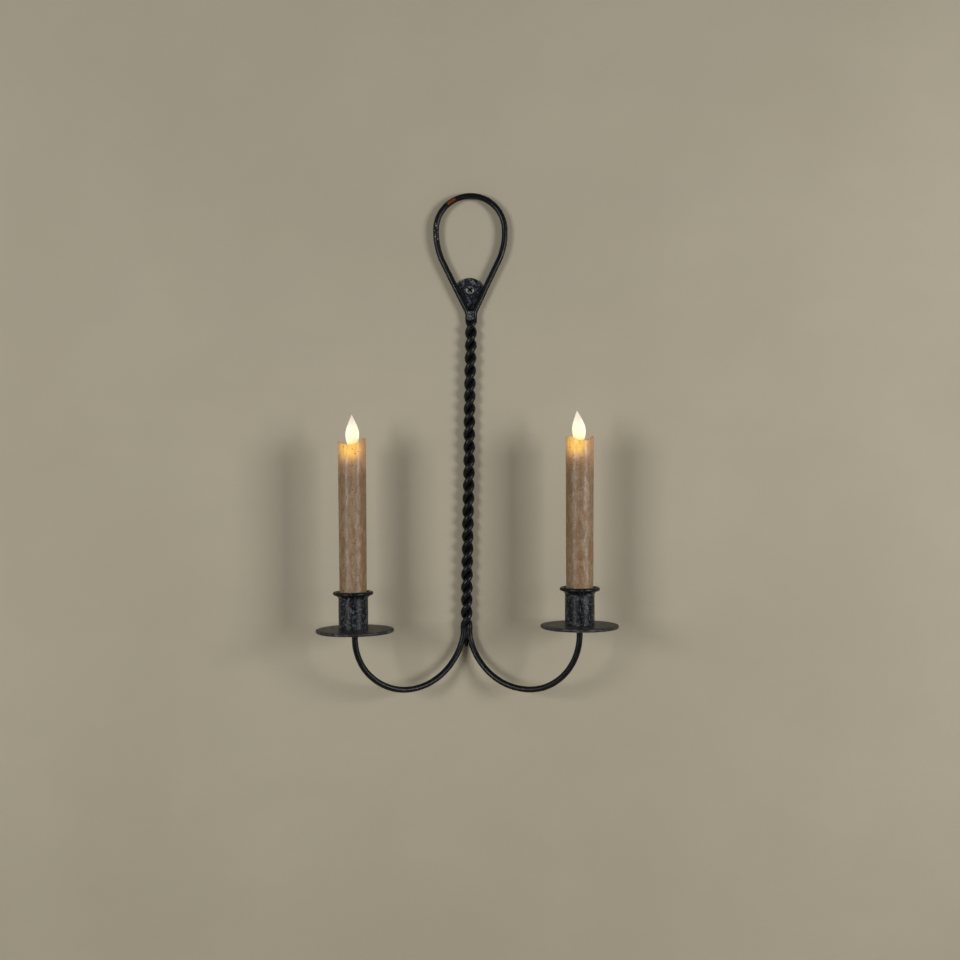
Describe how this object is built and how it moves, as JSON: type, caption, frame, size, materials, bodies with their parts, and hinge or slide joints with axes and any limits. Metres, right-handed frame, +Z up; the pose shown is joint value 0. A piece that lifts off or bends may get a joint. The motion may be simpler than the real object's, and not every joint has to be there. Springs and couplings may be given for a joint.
{
  "type": "wall sconce candle holder",
  "caption": "Wall sconce of black twisted rod: teardrop loop over a screw tab, rope-twist stem and curved arms whose drip pans and rimmed cups hold flickering battery tapers.",
  "frame": {"origin": "the wall screw's axis where it crosses the wall plane, at the back of the hanger tab", "axes": "+Z up along the stem, +Y into the wall along the screw, -Y out into the room towards the viewer, +X to the viewer's right"},
  "size_m": [0.2352, 0.1155, 0.4024],
  "materials": {
    "forged_iron": "matt black paint over hammered iron, rubbed at the edges",
    "steel_screw": "dull zinc",
    "wax": "satin brown wax with dark specks",
    "flame": "satin translucent plastic, lit",
    "dark_plastic": "moulded",
    "cream_plastic": "moulded",
    "battery_case": "printed metal sleeve",
    "spring_brass": "plain",
    "board": "solder mask",
    "copper_wire": "enamelled copper",
    "lamp": "clear resin",
    "magnet": "nickel plated"
  },
  "bodies": {
    "sconce": {"hanging_loop": "forged_iron", "twist_strand_left": "forged_iron", "twist_strand_right": "forged_iron", "left_arm": "forged_iron", "right_arm": "forged_iron", "hanger_tab": "forged_iron", "wall_screw": "steel_screw", "left_drip_pan": "forged_iron", "left_candle_cup": "forged_iron", "left_cup_rim": "forged_iron", "left_pan_screw": "steel_screw", "right_drip_pan": "forged_iron", "right_candle_cup": "forged_iron", "right_cup_rim": "forged_iron", "right_pan_screw": "steel_screw"},
    "left_candle": {"left_wax_sleeve": "wax", "left_core_tube": "dark_plastic", "left_battery_carrier": "dark_plastic", "left_lower_battery": "battery_case", "left_upper_battery": "battery_case", "left_top_contact": "spring_brass", "left_return_strip": "spring_brass", "left_circuit_board": "board", "left_coil_bobbin": "dark_plastic", "left_coil_winding": "copper_wire", "left_led": "lamp", "left_flame_holder": "cream_plastic", "left_flame_wire": "steel_screw"},
    "left_flame_unit": {"left_flame": "flame", "left_flame_magnet": "magnet"},
    "left_base": {"left_base_cap": "cream_plastic", "left_switch_body": "dark_plastic", "left_contact_spring": "steel_screw"},
    "left_switch": {"left_switch_slider": "dark_plastic"},
    "right_candle": {"right_wax_sleeve": "wax", "right_core_tube": "dark_plastic", "right_battery_carrier": "dark_plastic", "right_lower_battery": "battery_case", "right_upper_battery": "battery_case", "right_top_contact": "spring_brass", "right_return_strip": "spring_brass", "right_circuit_board": "board", "right_coil_bobbin": "dark_plastic", "right_coil_winding": "copper_wire", "right_led": "lamp", "right_flame_holder": "cream_plastic", "right_flame_wire": "steel_screw"},
    "right_flame_unit": {"right_flame": "flame", "right_flame_magnet": "magnet"},
    "right_base": {"right_base_cap": "cream_plastic", "right_switch_body": "dark_plastic", "right_contact_spring": "steel_screw"},
    "right_switch": {"right_switch_slider": "dark_plastic"}
  },
  "joints": [
    {"name": "left_candle_lift", "type": "slide", "parent": "sconce", "child": "left_candle", "axis": [-0.0087, 0, 1], "range_m": [0, 0.05]},
    {"name": "left_flame_sway", "type": "hinge", "parent": "left_candle", "child": "left_flame_unit", "pos_m": [-0.0913, -0.047, -0.13251], "axis": [0, 1, 0], "range_deg": [-8, 8]},
    {"name": "left_cap_twist", "type": "hinge", "parent": "left_candle", "child": "left_base", "pos_m": [-0.0901, -0.047, -0.27051], "axis": [-0.0087, 0, 1], "range_deg": [0, 30]},
    {"name": "left_switch_slide", "type": "slide", "parent": "left_base", "child": "left_switch", "axis": [0, 1, 0], "range_m": [-0.0025, 0]},
    {"name": "right_candle_lift", "type": "slide", "parent": "sconce", "child": "right_candle", "axis": [0, 0, 1], "range_m": [0, 0.05]},
    {"name": "right_flame_sway", "type": "hinge", "parent": "right_candle", "child": "right_flame_unit", "pos_m": [0.0857, -0.047, -0.1291], "axis": [0, 1, 0], "range_deg": [-3.5, 12.5]},
    {"name": "right_cap_twist", "type": "hinge", "parent": "right_candle", "child": "right_base", "pos_m": [0.0857, -0.047, -0.2671], "axis": [0, 0, 1], "range_deg": [0, 30]},
    {"name": "right_switch_slide", "type": "slide", "parent": "right_base", "child": "right_switch", "axis": [0, 1, 0], "range_m": [-0.0025, 0]}
  ]
}
